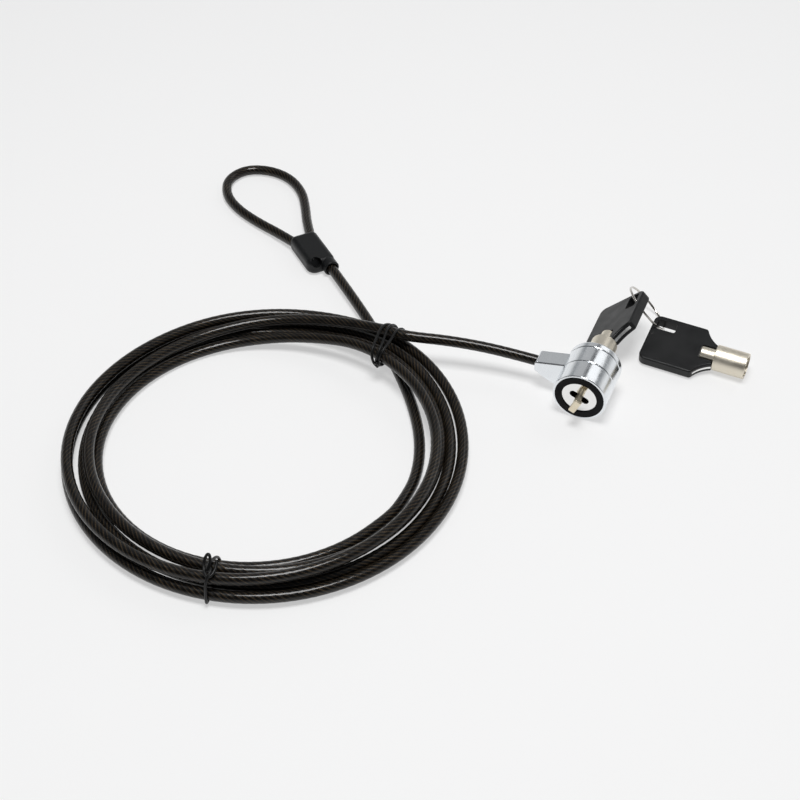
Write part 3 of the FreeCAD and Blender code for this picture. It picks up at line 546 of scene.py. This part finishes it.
def sheathed(name, points, spec, finish):    # a mesh tube along a spline, and the spline's own line
    curve = routeCurve(name + "Route", points)
    line = lineOf(curve)
    modifier = curve.modifiers.new("sheath", "NODES")
    modifier.node_group = sheath
    giveInputs(modifier, sheath, {
        "Radius": spec["diameter"] * 0.0005, "Step": spec["step"] * 0.001, "Around": spec["around"],
        "Strands": spec["strands"], "Lay Length": spec["lay"] * 0.001,
        "Emboss": spec["emboss"] * 0.001, "Finish": finish})
    mesh = plainMesh(curve, name)
    bpy.data.objects.remove(curve)
    piece = addObject(name, mesh)
    mesh.materials.clear()
    mesh.materials.append(finish)
    print(name, len(mesh.polygons), "faces", round(lengthOf(line) * 1000, 1), "mm")
    return piece, line


cableRope, cableLine = sheathed("cableRope", cableRoute(), cable, finishes["sheath"])
eyeRope, eyeLine = sheathed("eyeRope", eyeRoute(), cable, finishes["sheath"])

# the wire ties, point by point: X, Y and height off the table, from one twisted end to the other
tieWire = {"diameter": 1.1, "around": 12, "step": 0.35, "strands": 1, "lay": 10.0, "emboss": 0.0}
backTie = (
    (-80.6, -11.0, 8.2), (-82.0, -11.0, 9.0), (-82.8, -10.9, 10.9), (-83.4, -10.5, 13.2),
    (-83.6, -8.5, 15.6), (-84.2, -3.4, 16.0), (-84.6, 1.6, 17.0), (-84.2, 5.8, 16.2),
    (-82.8, 10.6, 12.0), (-82.0, 10.2, 7.2), (-81.4, 5.0, 4.6), (-81.2, -3.0, 4.5),
    (-81.6, -8.2, 5.8), (-81.6, -10.8, 10.0), (-80.8, -9.8, 14.3), (-80.8, -6.4, 15.8),
    (-81.6, -1.6, 15.7), (-82.3, 3.0, 16.8), (-81.6, 8.4, 15.0), (-80.4, 10.8, 9.6),
    (-80.0, 7.2, 5.4), (-79.6, -1.2, 4.5), (-80.6, -7.9, 5.6), (-80.6, -10.5, 10.0),
    (-79.8, -9.5, 14.1), (-79.0, -6.2, 15.6), (-78.8, -1.2, 15.4), (-78.6, 3.4, 16.5),
    (-77.6, 9.0, 13.6), (-76.9, 9.8, 8.4), (-77.4, 5.0, 5.2), (-79.4, -2.0, 4.5),
    (-80.8, -9.0, 6.6), (-81.6, -11.2, 9.4), (-80.9, -11.6, 10.6), (-80.3, -11.0, 9.6),
    (-80.9, -10.6, 7.6))
frontTie = (
    (-89.3, -129.9, 15.4), (-88.8, -131.6, 14.4), (-88.6, -134.0, 13.4), (-89.2, -136.2, 13.1),
    (-91.0, -136.2, 13.3), (-92.4, -134.0, 13.6), (-93.6, -131.6, 15.2), (-92.7, -129.8, 17.6),
    (-91.5, -130.4, 16.6), (-90.9, -132.4, 14.2), (-91.6, -134.6, 12.6), (-92.8, -129.8, 12.2),
    (-93.6, -123.6, 8.6), (-93.8, -121.2, 4.2), (-93.2, -122.4, 0.9), (-91.6, -131.0, 0.7),
    (-90.2, -138.4, 0.7), (-89.8, -139.3, 3.4), (-89.9, -138.8, 7.2), (-90.0, -138.0, 11.2),
    (-89.8, -136.4, 13.4), (-89.4, -134.8, 14.0), (-90.1, -133.2, 14.2))
backTieWire, backTieLine = sheathed("backTieWire", [onTable(p) for p in backTie], tieWire,
                                    finishes["tie"])
frontTieWire, frontTieLine = sheathed("frontTieWire", [onTable(p) for p in frontTie], tieWire,
                                      finishes["tie"])
for piece, slotName, nodeNames in (
        (cableRope, "cable_coat", ("cable_lead", "cable_coil", "cable_tail")),
        (eyeRope, "cable_coat", ("cable_eye",)),
        (backTieWire, "tie_wire", ("tie_back",)), (frontTieWire, "tie_wire", ("tie_front",))):
    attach(piece, "cable")
    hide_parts(*nodeNames)

print("stage and light")
stage = {"floor": (0.88, 0.88, 0.88), "paler": 0.01, "cloud": 30.0, "rough": 0.8, "half": 3000.0,
         "glow": 0.5}
sky = {"cameraSide": 0.35, "stops": ((0.0, (0.95, 0.95, 0.95)), (0.14, (0.8, 0.8, 0.8)),
                                  (0.34, (0.3, 0.31, 0.32)), (0.55, (0.13, 0.132, 0.136)))}
softboxes = {
    "topSoftbox": {"stands": (-0.02, -0.1, 1.1), "aims": (-0.02, -0.05, 0.0), "size": (0.42, 0.42),
                   "power": 9.4},
    "backSoftbox": {"stands": (0.45, 1.0, 0.95), "aims": (0.0, 0.0, 0.0), "size": (0.8, 0.6),
                    "power": 1.6},
    "leftSoftbox": {"stands": (-0.55, 1.0, 0.9), "aims": (0.0, 0.0, 0.0), "size": (0.8, 0.6),
                    "power": 0.5},
}


def addFloor():          # pale to the eye and in reflections, where a share of its own glow lifts it
    mesh = bpy.data.meshes.new("tableTop")
    h = stage["half"]
    mesh.from_pydata([mm(-h, -h, tableHeight), mm(h, -h, tableHeight), mm(h, h, tableHeight),
                      mm(-h, h, tableHeight)], [], [(0, 1, 2, 3)])
    floor = addObject("tableTop", mesh)
    look = Finish("paleTable", Roughness=stage["rough"])
    cloud = look.noise(look.place(), stage["cloud"], 3.0)
    paler = tuple(c + stage["paler"] for c in stage["floor"])
    look.set("Base Color", look.blend(cloud, stage["floor"], paler))
    ray = look.make("ShaderNodeLightPath", output="Is Camera Ray")
    seen = ray.maths("MAXIMUM", ray, ray.out("Is Glossy Ray"))
    seen = ray.maths("MAXIMUM", seen, ray.out("Is Transmission Ray"))
    glow = look.make("ShaderNodeEmission", None, {"Color": (1, 1, 1, 1), "Strength": 1.0})
    mix = look.make("ShaderNodeMixShader", None, {0: seen * stage["glow"], 1: look.shader, 2: glow})
    look.tree.links.new(mix.socket, look.output.inputs["Surface"])
    mesh.materials.append(look.material)


def addSoftbox(name, spec):
    data = bpy.data.lights.new(name, "AREA")
    data.shape = "RECTANGLE"
    data.size, data.size_y = spec["size"]
    data.energy = spec["power"]
    lamp = addObject(name, data)
    lamp.location = spec["stands"]
    towards = Vector(spec["aims"]) - Vector(spec["stands"])
    lamp.rotation_euler = towards.to_track_quat("-Z", "Y").to_euler()


def addWorld(spec):      # pale at the horizon, greyer higher up and darker on the camera's side
    world = bpy.data.worlds.new("studio")
    bpy.context.scene.world = world
    world.use_nodes = True
    bench = NodeBench(world.node_tree)
    direction = bench.make("ShaderNodeTexCoord", output="Generated")
    parts = bench.make("ShaderNodeSeparateXYZ", None, {0: direction})
    wire = bench.make("ShaderNodeValToRGB", {"stops": spec["stops"]}, {"Fac": parts.out("Z")})
    side = bench.make("ShaderNodeMapRange", {"clamp": True}, {
        "Value": parts.out("Y"), "From Min": -0.6, "From Max": 0.1,
        "To Min": spec["cameraSide"], "To Max": 1.0})
    backdrop = world.node_tree.nodes["Background"]
    bench.feed(backdrop.inputs["Color"], wire)
    bench.feed(backdrop.inputs["Strength"], side)


addFloor()
addWorld(sky)
for boxName, spec in softboxes.items():
    addSoftbox(boxName, spec)
bpy.context.scene.view_settings.view_transform = "Standard"

print("facts of the cords")
